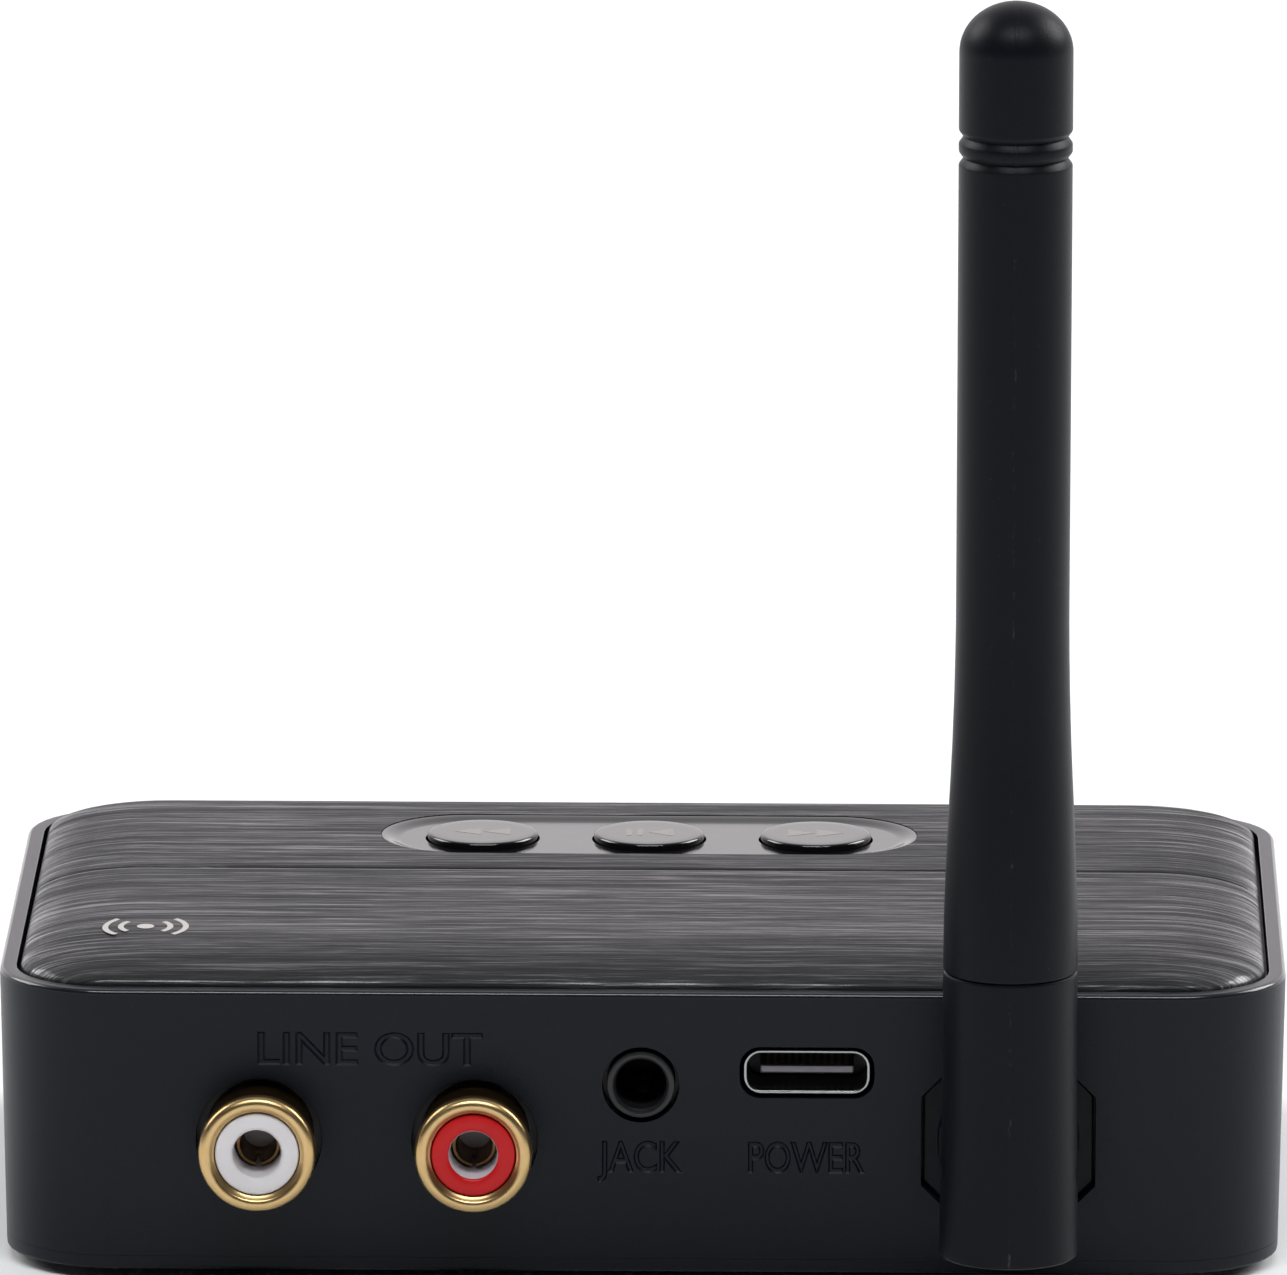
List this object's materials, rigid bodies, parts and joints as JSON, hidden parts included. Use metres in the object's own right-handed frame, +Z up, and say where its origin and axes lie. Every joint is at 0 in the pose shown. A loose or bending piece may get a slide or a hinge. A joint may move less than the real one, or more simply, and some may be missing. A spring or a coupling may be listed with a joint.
{
  "type": "bluetooth audio receiver",
  "caption": "Desktop wireless audio receiver: moulded case with a domed cover and media buttons, phono, headphone and power sockets, and a folding swivel antenna.",
  "frame": {"origin": "centre of the bounding box at the underside of the rubber feet", "axes": "+Z up, +X to the right when the rear (connector) wall is looked at, -Y out of the rear wall"},
  "size_m": [0.091, 0.0708, 0.0935],
  "materials": {
    "casing": "fine satin moulded ABS, charcoal black",
    "cover": "dark grey printed film with a fine brushed grain along X, satin",
    "piano_black": "polished black plastic",
    "antenna": "soft matte black plastic with a mould line",
    "foot_rubber": "matte black rubber",
    "gold_plate": "bright gold plating",
    "steel": "bright nickel plated steel",
    "white_plastic": "white nylon, slight gloss",
    "red_plastic": "red nylon, slight gloss",
    "board": "green circuit board with solder mask",
    "chip": "black moulding compound",
    "copper": "bare copper"
  },
  "bodies": {
    "case": {"main_housing": "casing", "bottom_cover": "casing", "top_cover": "cover", "button_tray": "piano_black", "previous_switch": "steel", "play_switch": "steel", "next_switch": "steel", "foot_rear_left": "foot_rubber", "case_screw_rear_left": "steel", "foot_rear_right": "foot_rubber", "case_screw_rear_right": "steel", "foot_front_left": "foot_rubber", "case_screw_front_left": "steel", "foot_front_right": "foot_rubber", "case_screw_front_right": "steel", "main_board": "board", "board_screw_left": "steel", "board_screw_right": "steel", "socket_block": "chip", "phono_shell_left": "gold_plate", "phono_insert_left": "white_plastic", "phono_contact_left": "gold_plate", "phono_shell_right": "gold_plate", "phono_insert_right": "red_plastic", "phono_contact_right": "gold_plate", "headphone_socket": "chip", "headphone_tip_spring": "gold_plate", "power_socket_shell": "steel", "power_socket_tongue": "chip", "radio_module_board": "board", "radio_shield_can": "steel", "audio_converter_chip": "chip", "line_driver_chip": "chip", "voltage_regulator": "chip", "crystal": "steel", "power_inductor": "chip", "output_capacitor_left": "steel", "output_capacitor_right": "steel", "coax_connector": "gold_plate", "coax_lead": "chip", "touch_pairing_coil": "copper", "antenna_mount": "casing"},
    "hub": {"swivel_hub": "antenna", "hinge_pin": "steel", "friction_washer": "steel", "hub_clip": "steel"},
    "antenna": {"antenna_housing": "antenna", "antenna_sleeve": "antenna", "radiator": "copper", "coax_tail": "chip"},
    "previous_key": {"previous_button": "piano_black", "previous_switch_plunger": "chip"},
    "play_key": {"play_button": "piano_black", "play_switch_plunger": "chip"},
    "next_key": {"next_button": "piano_black", "next_switch_plunger": "chip"}
  },
  "joints": [
    {"name": "antenna_swivel", "type": "hinge", "parent": "case", "child": "hub", "pos_m": [0.0259, -0.02252, 0.01049], "axis": [0, 1, 0], "range_deg": [-70, 90]},
    {"name": "antenna_tilt", "type": "hinge", "parent": "hub", "child": "antenna", "pos_m": [0.0259, -0.03053, 0.01049], "axis": [1, 0, 0], "range_deg": [0, 90]},
    {"name": "previous_press", "type": "slide", "parent": "case", "child": "previous_key", "axis": [0, 0, -1], "range_m": [0, 0.0003], "stiffness_N_per_m": 400},
    {"name": "play_press", "type": "slide", "parent": "case", "child": "play_key", "axis": [0, 0, -1], "range_m": [0, 0.0003], "stiffness_N_per_m": 400},
    {"name": "next_press", "type": "slide", "parent": "case", "child": "next_key", "axis": [0, 0, -1], "range_m": [0, 0.0003], "stiffness_N_per_m": 400}
  ]
}
